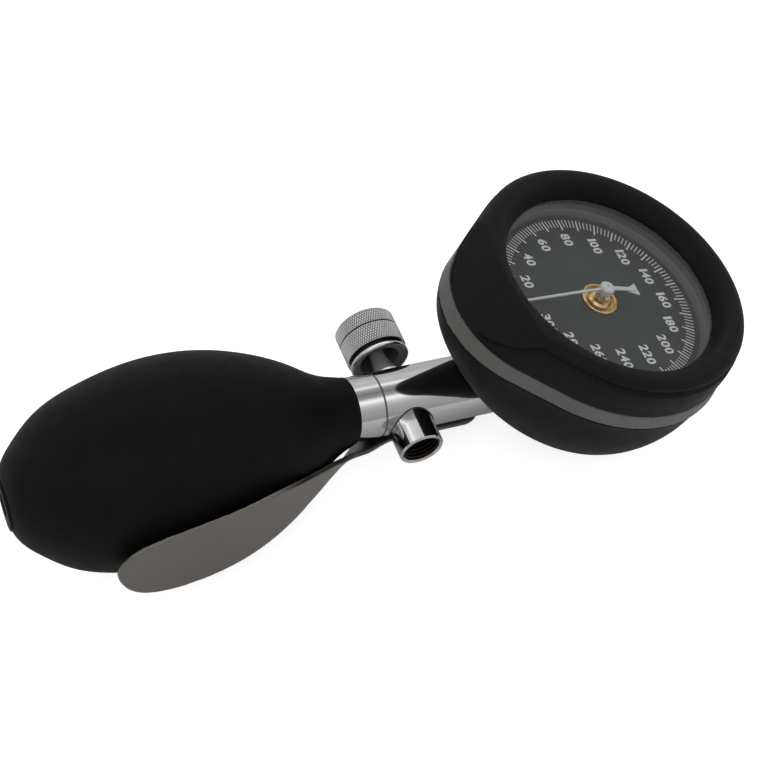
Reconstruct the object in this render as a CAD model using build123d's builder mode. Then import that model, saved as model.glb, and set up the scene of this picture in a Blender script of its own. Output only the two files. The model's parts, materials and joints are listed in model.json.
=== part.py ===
from build123d import *
from math import sin, cos, radians
import os

# ------------------------------------------------------------------
# Palm-type aneroid pressure gauge with squeeze bulb, lying on a table.
# Millimetres, +Z up, +X from the bulb towards the gauge.
# The origin is under the middle of the object, on the table.
# ------------------------------------------------------------------

# --- driving dimensions -------------------------------------------
dial_x, dial_z = 55.576, 31.977     # centre of the dial above the table
dial_lean = 21.41                 # dial normal from the vertical, towards +X
tube_dip = 12.16                  # manifold axis below the horizontal, towards +X
bulb_dip = 5.64                   # bulb axis below the horizontal, towards +X
tube_depth = 25.86                # manifold axis below the dial, on the dial's axis

boot_r = 34.6                     # outside of the boot's round part
aperture_r = 26.6                 # opening over the lens
lens_low, lens_top = 5.1, 5.75
case_r, case_in = 30.5, 28.4      # gauge case, outside and inside
dial_r = 26.9
cavity_r = 30.6                   # space in the boot for the case

tube_r = 7.75                     # manifold and collar
tube_bore = 2.6
seam = -48.9                      # joint between manifold and collar, along the tube
seam_t = 0.24                     # gasket in that joint
neck = -55.6                      # end of the bulb's neck, along the tube
cross = -42.4                     # bleed valve, along the tube
tube_end = 4.0

port_r, port_bore, port_mouth = 5.45, 4.50, 14.35
port_depth = 7.8
port_along, port_drop = -41.85, 0.90    # the port sits a little below the middle of the tube
knob_r, knob_lip, knob_face = 7.55, 11.3, 22.7

ball_r, ball_travel = 1.9, 0.8
spoon_t = 1.2

# --- frames -------------------------------------------------------
def direction(dip):
    a = radians(dip)
    return Vector(cos(a), 0, -sin(a)), Vector(sin(a), 0, cos(a))

gx, gz = direction(dial_lean)
tx, tz = direction(tube_dip)
bx, bz = direction(bulb_dip)
O_G = Vector(dial_x, 0, dial_z)
O_T = O_G - gz * tube_depth
O_B = O_T + tx * neck
O_C = O_T + tx * cross
O_P = O_T + tx * port_along - tz * port_drop

DIAL = Plane(origin=O_G, x_dir=gx, z_dir=gz)               # 12 o'clock is +x
DIAL_XZ = Plane(origin=O_G, x_dir=gx, z_dir=(0, -1, 0))    # (radius, height)
TUBE_XZ = Plane(origin=O_T, x_dir=tx, z_dir=(0, -1, 0))    # (along, up)
BULB_XZ = Plane(origin=O_B, x_dir=bx, z_dir=(0, -1, 0))    # (along, up)
BULB_PLAN = Plane(origin=O_B, x_dir=bx, z_dir=bz)          # (along, sideways)
CROSS = Plane(origin=O_C, x_dir=(0, 1, 0), z_dir=tx)       # (sideways, up)
PORT = Plane(origin=O_P, x_dir=(0, 1, 0), z_dir=tx)        # (sideways, up)
GAUGE_AXIS = Axis(O_G, gz)
TUBE_AXIS = Axis(O_T, tx)
BULB_AXIS = Axis(O_B, bx)
CROSS_AXIS = Axis(O_C, (0, 1, 0))
PORT_AXIS = Axis(O_P, (0, 1, 0))

def tube_section(s):
    return Plane(origin=O_T + tx * s, x_dir=(0, 1, 0), z_dir=tx)

def bulb_section(u):
    return Plane(origin=O_B + bx * u, x_dir=(0, 1, 0), z_dir=bx)

# The boot's outline is a circle drawn out to a rounded chin on the -x side:
# two flats leave the circle at chin_a and meet the nose circle.
chin_a = radians(131.4)

def pear(r, tip):
    xc = (tip - r) / (1 + cos(chin_a))
    rho = r + xc * cos(chin_a)
    a = (r * cos(chin_a), r * sin(chin_a))
    d = (-xc + rho * cos(chin_a), rho * sin(chin_a))
    return a, (a[0], -a[1]), (d[0], -d[1]), d

band_top, band_low = -0.3, -4.0
pear_top = (34.4, 39.7)
pear_low = (34.95, 41.0)
lower_sections = [(-4.0, 34.95, 41.0), (-8.0, 34.05, 39.8), (-12.0, 33.5, 37.6),
                  (-16.0, 32.4, 34.7), (-20.0, 30.6, 31.3), (-22.0, 29.3, 29.5)]

# ------------------------------------------------------------------
# Boot
# ------------------------------------------------------------------
# wall and rolled crest of the upper half: (height, radius of the round part)
upper_sections = [(band_top, 34.4), (4.0, 34.5), (8.0, 34.15), (8.8, 33.9), (9.4, 33.5), (9.85, 32.95),
                  (10.15, 32.3), (10.3, 31.7)]
with BuildPart() as upper_boot:
    # pear-shaped body, sloped off towards the chin by a wide cone
    for z, r in upper_sections:
        with BuildSketch(DIAL.offset(z)):
            with BuildLine():
                a, b, c, d = pear(r, pear_top[1])
                ThreePointArc(a, (r, 0), b)
                Line(b, c)
                ThreePointArc(c, (-pear_top[1], 0), d)
                Line(d, a)
            make_face()
    loft(ruled=True)
    with BuildSketch(DIAL_XZ):
        with BuildLine():
            Polyline((45, -1), (-40.4, -1), (-31.0, 10.7), (45, 10.7), close=True)
        make_face()
    revolve(axis=Axis(O_G + gx * 45, gz), mode=Mode.INTERSECT)
    # space for the case
    with BuildSketch(DIAL.offset(band_top - 1)):
        Circle(cavity_r)
    extrude(amount=lens_top - band_top + 1, mode=Mode.SUBTRACT)
    # window, with a rounded lip that falls steeply to the lens
    with BuildSketch(DIAL_XZ):
        with BuildLine():
            Polyline((0, -1), (aperture_r, -1), (aperture_r, lens_top))
            ThreePointArc((aperture_r, lens_top), (27.2, 7.3), (28.1, 8.8))
            ThreePointArc((28.1, 8.8), (28.9, 9.7), (30.1, 10.2))
            Polyline((30.1, 10.2), (31.7, 10.31), (31.7, 12), (0, 12), (0, -1))
        make_face()
    revolve(axis=GAUGE_AXIS, mode=Mode.SUBTRACT)
upper_boot.part.label = "upper_boot"

with BuildPart() as boot_band:
    for z, (r, tip) in ((band_low, pear_low), (band_top, pear_top)):
        with BuildSketch(DIAL.offset(z)):
            with BuildLine():
                a, b, c, d = pear(r, tip)
                ThreePointArc(a, (r, 0), b)
                Line(b, c)
                ThreePointArc(c, (-tip, 0), d)
                Line(d, a)
            make_face()
    loft(ruled=True)
    with BuildSketch(DIAL.offset(band_low - 1)):
        Circle(cavity_r)
    extrude(amount=6, mode=Mode.SUBTRACT)
boot_band.part.label = "boot_band"

with BuildPart() as lower_boot:
    for z, r, tip in lower_sections:
        with BuildSketch(DIAL.offset(z)):
            with BuildLine():
                a, b, c, d = pear(r, tip)
                ThreePointArc(a, (r, 0), b)
                Line(b, c)
                ThreePointArc(c, (-tip, 0), d)
                Line(d, a)
            make_face()
    loft()
    # rounded underside with a flat middle
    with BuildSketch(DIAL_XZ):
        with BuildLine():
            Polyline((0, -22.0), (29.35, -22.0))
            Spline((29.35, -22.0), (26.6, -24.1), (23.6, -25.3), (20.5, -25.9), (16.5, -26.2),
                   tangents=((-0.55, -1), (-1, 0)))
            Polyline((16.5, -26.2), (0, -26.2), (0, -22.0))
        make_face()
    revolve(axis=GAUGE_AXIS)
    # pocket for the case
    with BuildSketch(DIAL.offset(-16.6)):
        Circle(cavity_r)
    extrude(amount=16, mode=Mode.SUBTRACT)
    # open channel for the manifold, and the hole for the stem
    with BuildSketch(tube_section(tube_end + 0.8)):
        Circle(tube_r + 0.45)
        with Locations((0, -10)):
            Rectangle(2 * (tube_r + 0.45), 20)
    extrude(amount=-60, mode=Mode.SUBTRACT)
    with BuildSketch(DIAL.offset(-22)):
        Circle(6.4)
    extrude(amount=8, mode=Mode.SUBTRACT)
    # small flat that the boot rests on
    with BuildSketch(Plane.XY):
        with Locations((dial_x, 0)):
            Rectangle(90, 90)
    extrude(amount=-5, mode=Mode.SUBTRACT)
lower_boot.part.label = "lower_boot"

# ------------------------------------------------------------------
# Gauge case and the window
# ------------------------------------------------------------------
with BuildPart() as gauge_case:
    with BuildSketch(DIAL_XZ):
        with BuildLine():
            Polyline((1.2, -23.0), (3.6, -23.0), (4.0, -22.6), (4.0, -18.4), (6.0, -18.4), (6.0, -16.5),
                     (29.5, -16.5), (case_r, -15.5), (case_r, lens_top), (case_in, lens_top), (case_in, -14.5),
                     (1.2, -14.5), close=True)
        make_face()
    revolve(axis=GAUGE_AXIS)
gauge_case.part.label = "gauge_case"

with BuildPart() as snubber:
    with BuildSketch(DIAL_XZ):
        with BuildLine():
            Polyline((0.3, -22.6), (1.2, -22.6), (1.2, -19.6), (0.7, -19.6), (0.3, -20.4), close=True)
        make_face()
    revolve(axis=GAUGE_AXIS)
snubber.part.label = "snubber"

with BuildPart() as stem_seal:
    with BuildSketch(DIAL.offset(-19.0)):
        Circle(5.9)
        Circle(4.05, mode=Mode.SUBTRACT)
    extrude(amount=0.6)
stem_seal.part.label = "stem_seal"

with BuildPart() as lens:
    with BuildSketch(DIAL.offset(lens_low)):
        Circle(27.9)
    extrude(amount=lens_top - lens_low)
    chamfer(lens.edges().filter_by(GeomType.CIRCLE), length=0.15)
lens.part.label = "lens"

with BuildPart() as lens_gasket:
    with BuildSketch(DIAL.offset(lens_low)):
        Circle(28.36)
        Circle(27.94, mode=Mode.SUBTRACT)
    extrude(amount=lens_top - lens_low)
lens_gasket.part.label = "lens_gasket"

with BuildPart() as dial_flange:
    with BuildSketch(DIAL_XZ):
        with BuildLine():
            Polyline((26.6, 0), (28.35, 0), (28.35, lens_low), (27.5, lens_low), close=True)
        make_face()
    revolve(axis=GAUGE_AXIS)
dial_flange.part.label = "dial_flange"

with BuildPart() as dial:
    with BuildSketch(DIAL.offset(-0.5)):
        Circle(dial_r)
        Circle(4.7, mode=Mode.SUBTRACT)
    extrude(amount=0.5)
dial.part.label = "dial"

with BuildPart() as spacer_ring:
    with BuildSketch(DIAL.offset(-8.0)):
        Circle(28.3)
        Circle(26.0, mode=Mode.SUBTRACT)
    extrude(amount=7.5)
spacer_ring.part.label = "spacer_ring"

# ------------------------------------------------------------------
# Pressure chamber and movement
# ------------------------------------------------------------------
with BuildPart() as diaphragm_seal:
    with BuildSketch(DIAL.offset(-14.5)):
        Circle(28.3)
        Circle(25.0, mode=Mode.SUBTRACT)
    extrude(amount=0.6)
diaphragm_seal.part.label = "diaphragm_seal"

# thin disc pressed into rings of corrugation, flat in the middle
ripple = [(28.3, -13.9), (24.0, -13.9), (22.6, -13.35), (21.2, -13.9), (19.8, -13.35), (18.4, -13.9),
          (17.0, -13.35), (15.6, -13.9), (14.2, -13.35), (0, -13.35)]
with BuildPart() as diaphragm:
    with BuildSketch(DIAL_XZ):
        with BuildLine():
            Polyline(*ripple, *[(r, z + 0.3) for r, z in reversed(ripple)], close=True)
        make_face()
    revolve(axis=GAUGE_AXIS)
diaphragm.part.label = "diaphragm"

with BuildPart() as clamp_ring:
    with BuildSketch(DIAL.offset(-13.6)):
        Circle(28.3)
        Circle(24.6, mode=Mode.SUBTRACT)
    extrude(amount=4.6)
    with BuildSketch(DIAL.offset(-9.0)):
        with PolarLocations(26.5, 4):
            Circle(0.9)
    extrude(amount=-2, mode=Mode.SUBTRACT)
clamp_ring.part.label = "clamp_ring"

# pad that rides on the diaphragm, with the push pin beside the spindle
with BuildPart() as diaphragm_pan:
    with BuildSketch(DIAL.offset(-13.03)):
        Circle(9.0)
    extrude(amount=0.8)
    with BuildSketch(DIAL.offset(-12.3)):
        Circle(2.0)
    extrude(amount=1.6)
    with BuildSketch(DIAL.offset(-12.3)):
        with Locations((4.0, 0)):
            Circle(0.5)
    extrude(amount=5.1)
diaphragm_pan.part.label = "diaphragm_pan"

with BuildPart() as support_plate:
    with BuildSketch(DIAL.offset(-9.0)):
        Circle(28.3)
        Circle(1.5, mode=Mode.SUBTRACT)
        with Locations((4.0, 0)):
            Circle(0.7, mode=Mode.SUBTRACT)
        with PolarLocations(15, 3, start_angle=60):
            Circle(0.9, mode=Mode.SUBTRACT)
        with PolarLocations(19, 3):
            Circle(3.5, mode=Mode.SUBTRACT)
    extrude(amount=1.0)
support_plate.part.label = "support_plate"

with BuildPart() as lower_jewel:
    with BuildSketch(DIAL_XZ):
        with BuildLine():
            Polyline((0, -9.3), (1.5, -9.3), (1.5, -7.8), (0.32, -7.8), (0.32, -8.95), (0, -8.95), close=True)
        make_face()
    revolve(axis=GAUGE_AXIS)
lower_jewel.part.label = "lower_jewel"

with BuildPart() as plate_pillars:
    with BuildSketch(DIAL.offset(-8.0)):
        with PolarLocations(15, 3, start_angle=60):
            Circle(1.7)
            Circle(0.9, mode=Mode.SUBTRACT)
    extrude(amount=5.5)
plate_pillars.part.label = "plate_pillars"

with BuildPart() as upper_plate:
    with BuildSketch(DIAL.offset(-2.5)):
        Circle(19)
        Circle(3.2, mode=Mode.SUBTRACT)
        with PolarLocations(15, 3, start_angle=60):
            Circle(0.9, mode=Mode.SUBTRACT)
        with PolarLocations(12, 3):
            Circle(4.5, mode=Mode.SUBTRACT)
    extrude(amount=1.0)
upper_plate.part.label = "upper_plate"

with BuildPart() as plate_screws:
    with BuildSketch(DIAL.offset(-9.0)):
        with PolarLocations(15, 3, start_angle=60):
            Circle(0.88)
    extrude(amount=7.5)
    with BuildSketch(DIAL.offset(-1.5)):
        with PolarLocations(15, 3, start_angle=60):
            Circle(1.6)
    extrude(amount=0.7)
    with BuildSketch(DIAL.offset(-0.8)):
        with PolarLocations(15, 3, start_angle=60):
            Rectangle(2.4, 0.4)
    extrude(amount=-0.35, mode=Mode.SUBTRACT)
plate_screws.part.label = "plate_screws"

# tube that shows round the middle of the dial, with the web that carries the upper bearing
with BuildPart() as movement_sleeve:
    with BuildSketch(DIAL_XZ):
        with BuildLine():
            Polyline((2.4, -2.5), (3.2, -2.5), (3.2, -1.5), (6.5, -1.5), (6.5, -0.7), (4.6, -0.7),
                     (4.6, 0.35), (4.45, 0.5), (4.1, 0.5), (4.0, 0.4), (4.0, -0.7), (2.4, -0.7), close=True)
        make_face()
    revolve(axis=GAUGE_AXIS)
movement_sleeve.part.label = "movement_sleeve"

with BuildPart() as bearing_cap:
    with BuildSketch(DIAL_XZ):
        with BuildLine():
            Polyline((0.7, -2.4), (2.4, -2.4), (2.4, -0.7), (3.0, -0.7), (3.0, 0.4), (2.5, 0.9), (1.6, 1.0),
                     (1.3, 0.8), (1.3, -0.2), (0.7, -0.2), close=True)
        make_face()
    revolve(axis=GAUGE_AXIS)
bearing_cap.part.label = "bearing_cap"

with BuildPart() as upper_jewel:
    with BuildSketch(DIAL_XZ):
        with BuildLine():
            Polyline((0.44, -0.2), (1.3, -0.2), (1.3, 0.8), (1.1, 1.1), (0.9, 1.1), (0.44, 0.7), close=True)
        make_face()
    revolve(axis=GAUGE_AXIS)
upper_jewel.part.label = "upper_jewel"

# flat spiral spring between the plates, three turns
turns, strip = 3, 0.18
spiral_out, spiral_in = [], []
for i in range(turns * 20 + 1):
    ang = radians(i * 18)
    rad = 1.35 + i * (4.6 / (turns * 20))
    spiral_out.append(((rad + strip) * cos(ang), (rad + strip) * sin(ang)))
    spiral_in.append((rad * cos(ang), rad * sin(ang)))
with BuildPart() as hairspring:
    with BuildSketch(DIAL.offset(-4.6)):
        with BuildLine():
            Polyline(*spiral_out, *reversed(spiral_in), close=True)
        make_face()
    extrude(amount=0.9)
hairspring.part.label = "hairspring"

with BuildPart() as spindle:
    with BuildSketch(DIAL_XZ):
        with BuildLine():
            Polyline((0, -8.9), (0.28, -8.9), (0.28, -7.7), (0.55, -7.5), (0.55, -5.0), (1.2, -5.0), (1.2, -3.4),
                     (0.55, -3.4), (0.55, -0.4), (0.4, -0.3), (0.4, 4.7), (0, 4.7), close=True)
        make_face()
    revolve(axis=GAUGE_AXIS)
spindle.part.label = "spindle"

# needle towards 6 o'clock (-x), dipping to the dial; balanced tail towards 12 o'clock
with BuildPart() as pointer:
    with BuildSketch(DIAL_XZ):
        with BuildLine():
            Polyline((0.4, 2.8), (1.65, 2.8), (1.85, 3.0), (1.85, 4.5), (1.45, 4.9), (0.4, 4.9), close=True)
        make_face()
    revolve(axis=GAUGE_AXIS)
    with BuildSketch(Plane(origin=O_G, x_dir=gx, z_dir=(0, -1, 0))):
        with BuildLine():
            Polyline((-1.2, 3.9), (-1.2, 4.3), (-8.0, 3.7), (-25.0, 1.8), (-25.0, 1.5), (-8.0, 3.3), close=True)
        make_face()
    extrude(amount=0.3, both=True)
    with BuildSketch(Plane(origin=O_G, x_dir=gx, z_dir=(0, -1, 0))):
        with BuildLine():
            Polyline((1.2, 3.9), (1.2, 4.3), (9.7, 3.0), (9.7, 2.65), close=True)
        make_face()
    extrude(amount=0.52, both=True)
    with BuildSketch(Plane(origin=O_G + gx * 9.7 + gz * 2.82, x_dir=gx, z_dir=gz)):
        with BuildLine():
            Polyline((-2.8, -0.52), (0, -1.75), (0, 1.75), (-2.8, 0.52), close=True)
        make_face()
    extrude(amount=0.17, both=True)
pointer.part.label = "pointer"

# ------------------------------------------------------------------
# Manifold under the gauge, with the hose port
# ------------------------------------------------------------------
with BuildPart() as manifold:
    with BuildSketch(tube_section(seam + seam_t)):
        Circle(tube_r)
    extrude(amount=tube_end - seam - seam_t)
    fillet(manifold.edges().filter_by(GeomType.CIRCLE).sort_by(Axis.X)[-1], radius=4.5)
    # hose port: a tapered-root boss towards -Y
    with BuildSketch(PORT):
        with BuildLine():
            Polyline((0, 0), (0, port_r + 0.25), (-6.4, port_r + 0.25))
            ThreePointArc((-6.4, port_r + 0.25), (-7.6, port_r + 0.06), (-9.0, port_r))
            Polyline((-9.0, port_r), (-(port_mouth - 0.35), port_r), (-port_mouth, port_r - 0.3),
                     (-port_mouth, 0), (0, 0))
        make_face()
    revolve(axis=PORT_AXIS)
    # flat for the bleed valve on the other side, and the flat for the gauge stem
    with BuildSketch(Plane(origin=O_C + Vector(0, 6.6, 0), x_dir=tx, z_dir=(0, 1, 0))):
        Circle(5.0)
    extrude(amount=3, mode=Mode.SUBTRACT)
    with BuildSketch(DIAL.offset(-19.0)):
        Circle(6.3)
    extrude(amount=6, mode=Mode.SUBTRACT)
    # passages
    with BuildSketch(tube_section(seam)):
        Circle(tube_bore)
    extrude(amount=52, mode=Mode.SUBTRACT)
    with BuildSketch(tube_section(seam)):
        Circle(6.0)
    extrude(amount=3.6, mode=Mode.SUBTRACT)
    with BuildSketch(DIAL.offset(-19.0)):
        Circle(4.02)
    extrude(amount=-(tube_depth - 19.0), mode=Mode.SUBTRACT)
    with BuildSketch(PORT):
        with BuildLine():
            Polyline((-port_mouth - 1, 0), (-port_mouth - 1, port_bore + 0.35), (-port_mouth, port_bore + 0.35),
                     (-port_mouth + 0.35, port_bore), (-port_mouth + 0.35 + port_depth, port_bore),
                     (-port_mouth + 0.35 + port_depth, 1.8), (0, 1.8), (0, 0), close=True)
        make_face()
    revolve(axis=PORT_AXIS, mode=Mode.SUBTRACT)
    with BuildSketch(CROSS):
        with BuildLine():
            Polyline((0, 0), (0, 1.6), (3.4, 1.6), (3.4, 3.02), (9, 3.02), (9, 0), close=True)
        make_face()
    revolve(axis=CROSS_AXIS, mode=Mode.SUBTRACT)
    # tapped hole for the spoon's screw, underneath
    with BuildSketch(Plane(origin=O_T + tx * -28 - tz * 8, x_dir=tx, z_dir=-tz)):
        Circle(1.5)
    extrude(amount=-4.2, mode=Mode.SUBTRACT)
manifold.part.label = "manifold"

with BuildPart() as collar_gasket:
    with BuildSketch(tube_section(seam)):
        Circle(7.45)
        Circle(6.02, mode=Mode.SUBTRACT)
    extrude(amount=seam_t)
collar_gasket.part.label = "collar_gasket"

# collar between bulb and manifold: spigot one way, barb the other, ball seat inside
with BuildPart() as valve_collar:
    with BuildSketch(TUBE_XZ):
        with BuildLine():
            Polyline((-69.5, 1.2), (-69.5, 4.6), (-67.6, 5.6), (-67.3, 5.6), (-67.3, 5.1), (-65.5, 5.1),
                     (-63.6, 5.6), (-63.3, 5.6), (-63.3, 5.1), (-61.5, 5.1), (-59.6, 5.6), (-59.3, 5.6),
                     (-59.3, 5.1), (neck, 5.1), (neck, tube_r - 0.2), (neck + 0.2, tube_r),
                     (seam - 0.25, tube_r), (seam, tube_r - 0.25), (seam, 5.95), (seam + 3.4, 5.95),
                     (seam + 3.4, 2.6), (-51.1, 2.6), (-52.5, 1.2), close=True)
        make_face()
    revolve(axis=TUBE_AXIS)
valve_collar.part.label = "valve_collar"

with BuildPart() as outlet_ball:
    with BuildSketch(TUBE_XZ):
        with BuildLine():
            CenterArc((-50.98, 0), ball_r, 0, 180)
            Line((-50.98 - ball_r, 0), (-50.98 + ball_r, 0))
        make_face()
    revolve(axis=TUBE_AXIS)
outlet_ball.part.label = "outlet_ball"

with BuildPart() as ball_cage:
    with BuildSketch(tube_section(-48.15)):
        Circle(2.58)
        Circle(0.5, mode=Mode.SUBTRACT)
        with PolarLocations(1.6, 4):
            Circle(0.5, mode=Mode.SUBTRACT)
    extrude(amount=1.2)
ball_cage.part.label = "ball_cage"

# ------------------------------------------------------------------
# Bleed valve
# ------------------------------------------------------------------
with BuildPart() as bleed_seat:
    with BuildSketch(CROSS):
        with BuildLine():
            Polyline((3.5, 0.8), (3.5, 3.0), (6.6, 3.0), (6.6, 3.5), (7.5, 3.4), (8.5, 2.95), (9.7, 2.5), (11.2, 2.15),
                     (13.0, 1.95), (17.6, 1.9), (17.8, 1.75), (17.8, 1.3), (9.2, 1.3), (9.2, 1.9), (4.9, 1.9), (4.6, 1.5),
                     (4.6, 0.8), close=True)
        make_face()
    revolve(axis=CROSS_AXIS)
bleed_seat.part.label = "bleed_seat"

with BuildPart() as bleed_needle:
    with BuildSketch(CROSS):
        with BuildLine():
            Polyline((4.0, 0), (4.64, 0.74), (5.0, 1.15), (5.7, 1.15), (5.7, 0.85), (6.7, 0.85), (6.7, 1.15),
                     (9.4, 1.15), (9.6, 1.25), (21.0, 1.25), (21.0, 0), close=True)
        make_face()
    revolve(axis=CROSS_AXIS)
bleed_needle.part.label = "bleed_needle"

with BuildPart() as needle_seal:
    with BuildSketch(CROSS):
        with Locations((6.2, 1.36)):
            Ellipse(0.44, 0.49)
    revolve(axis=CROSS_AXIS)
needle_seal.part.label = "needle_seal"

# cupped thumb knob: lip, deep groove, two grip bands parted by a thin groove, bevelled face
with BuildPart() as bleed_knob:
    with BuildSketch(CROSS):
        with BuildLine():
            Polyline((knob_lip + 0.55, 5.0), (knob_lip, 6.9), (knob_lip, 7.2), (knob_lip + 0.2, 7.35), (12.2, 7.35), (12.35, 7.2),
                     (12.4, 6.6), (13.5, 6.6), (13.5, knob_r), (18.45, knob_r), (18.45, knob_r - 0.35),
                     (18.8, knob_r - 0.35), (18.8, knob_r), (22.25, knob_r), (knob_face, knob_r - 0.45), (knob_face, 0),
                     (21.0, 0), (21.0, 1.25), (18.4, 1.25), (18.4, 4.5), (17.9, 5.0), close=True)
        make_face()
    revolve(axis=CROSS_AXIS)
bleed_knob.part.label = "bleed_knob"

# ------------------------------------------------------------------
# Bulb with its inlet valve
# ------------------------------------------------------------------
bulb_outer = [(-81.3, 6.9), (-76.6, 13.2), (-70.9, 17.7), (-58.9, 22.1), (-46.9, 23.9), (-34.9, 23.3),
              (-22.9, 20.0), (-10.9, 13.6), (-2.9, 8.9), (0.0, 7.95), (2.0, 7.9)]
bulb_inner = [(-74.6, 5.6), (-71.8, 11.6), (-67.6, 15.9), (-58.2, 18.9), (-46.9, 20.7), (-35.3, 20.1),
              (-24.2, 17.1), (-13.6, 11.4), (-10.4, 7.4), (-9.8, 5.0)]
with BuildPart() as bulb:
    with BuildSketch(BULB_XZ):
        with BuildLine():
            Line((-81.3, 0), (-81.3, 6.9))
            Spline(*bulb_outer, tangents=((0.35, 1), (1, -0.02)))
            Polyline((2.0, 7.9), (2.0, 0), (-81.3, 0))
        make_face()
    revolve(axis=BULB_AXIS)
    # hollow
    with BuildSketch(BULB_XZ):
        with BuildLine():
            Line((-74.6, 0), (-74.6, 5.6))
            Spline(*bulb_inner, tangents=((0.15, 1), (0.05, -1)))
            Polyline((-9.8, 5.0), (-9.8, 0), (-74.6, 0))
        make_face()
    revolve(axis=BULB_AXIS, mode=Mode.SUBTRACT)
    with BuildSketch(bulb_section(-82)):
        Circle(4.8)
    extrude(amount=9, mode=Mode.SUBTRACT)
    # small flat that the bulb rests on
    with BuildSketch(Plane.XY):
        with Locations((-50, 0)):
            Rectangle(70, 60)
    extrude(amount=-5, mode=Mode.SUBTRACT)
    # neck is cut square to the collar, and bored for its barb
    with BuildSketch(tube_section(neck)):
        Circle(20)
    extrude(amount=6, mode=Mode.SUBTRACT)
    with BuildSketch(tube_section(neck)):
        Circle(5.6)
    extrude(amount=-15, mode=Mode.SUBTRACT)
bulb.part.label = "bulb"

with BuildPart() as inlet_body:
    with BuildSketch(BULB_XZ):
        with BuildLine():
            Polyline((-81.95, 2.9), (-81.95, 5.9), (-81.65, 6.2), (-81.3, 6.2), (-81.3, 4.78), (-70.5, 4.78),
                     (-70.5, 2.6), (-76.1, 2.6), (-77.5, 1.2), (-79.0, 1.2), (-79.0, 2.9), close=True)
        make_face()
    revolve(axis=BULB_AXIS)
inlet_body.part.label = "inlet_body"

with BuildPart() as inlet_screen:
    with BuildSketch(bulb_section(-79.0)):
        Circle(2.88)
        with PolarLocations(0.9, 4):
            Circle(0.35, mode=Mode.SUBTRACT)
        with PolarLocations(1.9, 8):
            Circle(0.35, mode=Mode.SUBTRACT)
    extrude(amount=-0.4)
inlet_screen.part.label = "inlet_screen"

with BuildPart() as inlet_ball:
    with BuildSketch(BULB_XZ):
        with BuildLine():
            CenterArc((-75.98, 0), ball_r, 0, 180)
            Line((-75.98 - ball_r, 0), (-75.98 + ball_r, 0))
        make_face()
    revolve(axis=BULB_AXIS)
inlet_ball.part.label = "inlet_ball"

with BuildPart() as inlet_retainer:
    with BuildSketch(bulb_section(-73.15)):
        Circle(2.58)
        Circle(0.5, mode=Mode.SUBTRACT)
        with PolarLocations(1.6, 4):
            Circle(0.5, mode=Mode.SUBTRACT)
    extrude(amount=1.2)
inlet_retainer.part.label = "inlet_retainer"

# ------------------------------------------------------------------
# Spoon: a plate that stands beside the bulb, then turns under the manifold
# ------------------------------------------------------------------
# plan of the outer face (along the bulb's axis, sideways); the inner face is parallel to it
blade_end = -16.0
plan_out = [(-66.0, -25.35), (-58.9, -25.6), (-46.9, -25.5), (-34.9, -24.7), (-22.9, -21.5), (blade_end, -17.95)]
plan_in = [(-66.0, -24.15), (-58.9, -24.4), (-46.9, -24.3), (-34.9, -23.46), (-22.9, -20.2), (blade_end, -16.6)]
edge_up = [(-63.4, 0.0), (-61.9, 5.0), (-58.0, 8.6), (-51.0, 10.5), (-42.0, 11.6), (-33.0, 12.0), (-27.0, 11.5),
           (-22.0, 9.6), (blade_end, 5.7)]
edge_low = [(blade_end, -6.0), (-20.5, -6.9), (-28.0, -9.0), (-36.0, -11.0), (-44.5, -12.4), (-51.5, -12.3),
            (-58.2, -9.9), (-61.9, -5.2), (-63.4, 0.0)]

tongue_rho = tube_r + spoon_t + 0.03

def thin_section(point, along, up, y, z, phi):
    """Plane for a section centred at (y, z) from the axis; phi is the way its outer face looks (180 = -Y, 270 = down)."""
    a = radians(phi)
    side = Vector(0, 1, 0) * -sin(a) + up * cos(a)
    return Plane(origin=point + Vector(0, 1, 0) * y + up * z, x_dir=side, z_dir=along)

# the neck's middle line: distance past the bulb's neck, sideways, up, way it looks, half width, thickness
neck_line = [(blade_end, -17.275, -0.15, 180, 5.85, 1.35), (-12.0, -15.1, -0.95, 183, 4.5, 1.35),
             (-8.5, -13.0, -2.1, 190, 3.9, 1.33), (-5.5, -11.2, -3.5, 199, 3.7, 1.3), (-2.5, -9.3, -5.0, 210, 3.8, 1.25),
             (1.0, -7.3, -6.5, 224, 4.1, 1.2), (4.1, -4.7, -7.8, 240, 4.7, 1.2), (7.3, -2.1, -8.35, 256, 5.2, 1.2),
             (10.1, -0.5, -8.4, 267, 5.5, 1.2), (12.1, 0.0, -(tongue_rho - spoon_t / 2), 270, 5.6, 1.2)]

def smooth(line, i, f):
    """Point at the fraction f between entries i and i+1, on a cubic that passes through every entry."""
    a, b, c, d = line[max(i - 1, 0)], line[i], line[i + 1], line[min(i + 2, len(line) - 1)]
    return tuple(0.5 * (2 * q + (r - p) * f + (2 * p - 5 * q + 4 * r - s) * f * f + (3 * q - p - 3 * r + s) * f ** 3)
                 for p, q, r, s in zip(a, b, c, d))

neck_sections = []
for i in range(len(neck_line) - 1):
    for f in (0.0, 0.5):
        u, y, z, phi, half, t = smooth(neck_line, i, f)
        mix = min(max((u + 3) / 6, 0), 1)      # the frame passes from the bulb's axis to the tube's
        dip = bulb_dip + (tube_dip - bulb_dip) * mix
        along, up = direction(dip)
        point = (O_B + bx * u) if u < 0 else (O_B + tx * u)
        neck_sections.append((along, up, point, y, z, phi, half, t))
neck_sections.append((tx, tz, O_B + tx * neck_line[-1][0]) + neck_line[-1][1:])

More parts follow.
